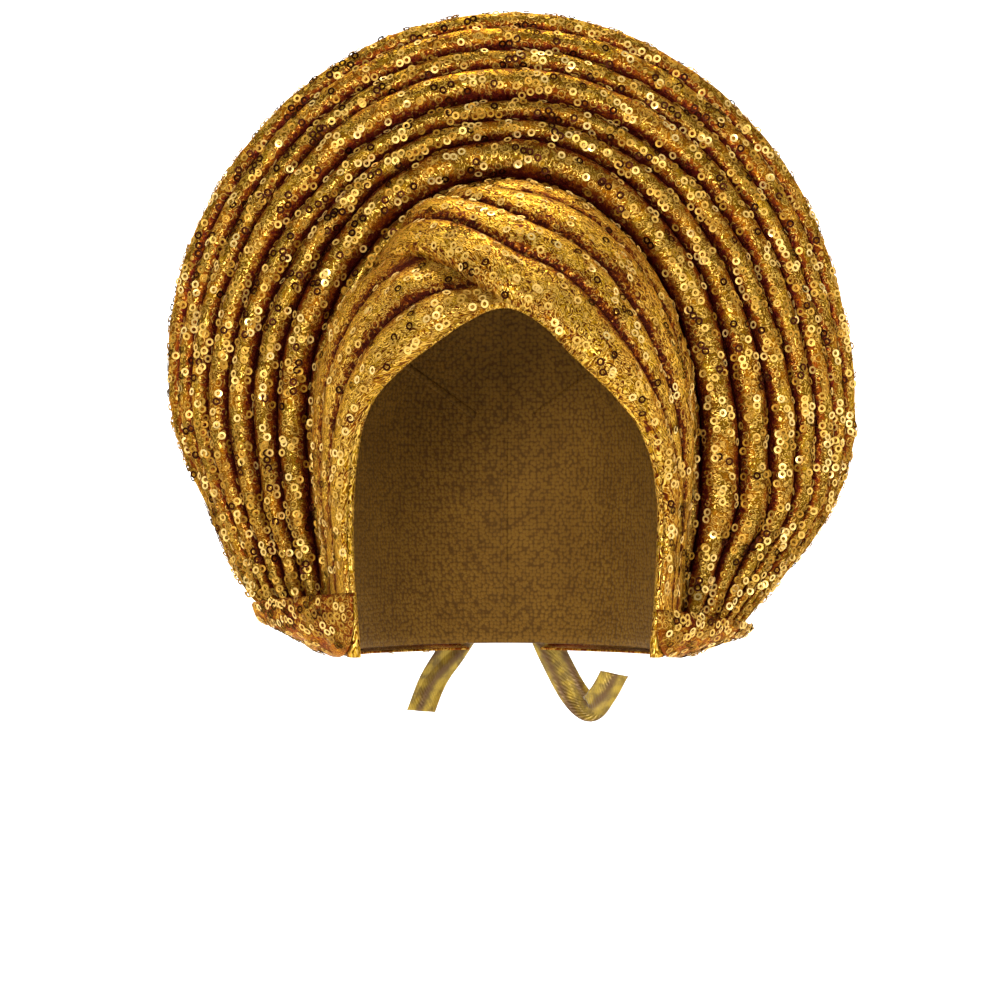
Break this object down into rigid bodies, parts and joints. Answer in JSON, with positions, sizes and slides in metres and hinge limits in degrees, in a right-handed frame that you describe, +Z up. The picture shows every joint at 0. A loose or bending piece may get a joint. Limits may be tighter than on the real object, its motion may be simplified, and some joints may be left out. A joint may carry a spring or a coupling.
{
  "type": "tied gele head tie",
  "caption": "Ready-tied gele: a pleated halo fan round a fitted cap, crossed pleated wraps over the forehead, a gathered back and a tie at the nape.",
  "frame": {"origin": "the seat of the crown: the highest point of the cap's hollow, where the top of the wearer's head bears", "axes": "+Z up when worn, the face looks along -Y, and +X is the wearer's left, which is the right of the picture"},
  "size_m": [0.3075, 0.2122, 0.3229],
  "materials": {
    "sequin_cloth": "gold sequins on metallic mesh",
    "cap_cloth": "dull brown-gold knit",
    "tie_cloth": "olive-gold satin"
  },
  "bodies": {
    "root": {"head_cap": "cap_cloth", "pleated_fan": "sequin_cloth", "left_wrap": "sequin_cloth", "right_wrap": "sequin_cloth", "back_drape": "sequin_cloth", "left_under_wrap": "sequin_cloth", "right_under_wrap": "sequin_cloth", "tie_knot": "tie_cloth", "tie_tail_right": "tie_cloth", "tie_tail_left": "tie_cloth"}
  },
  "joints": []
}
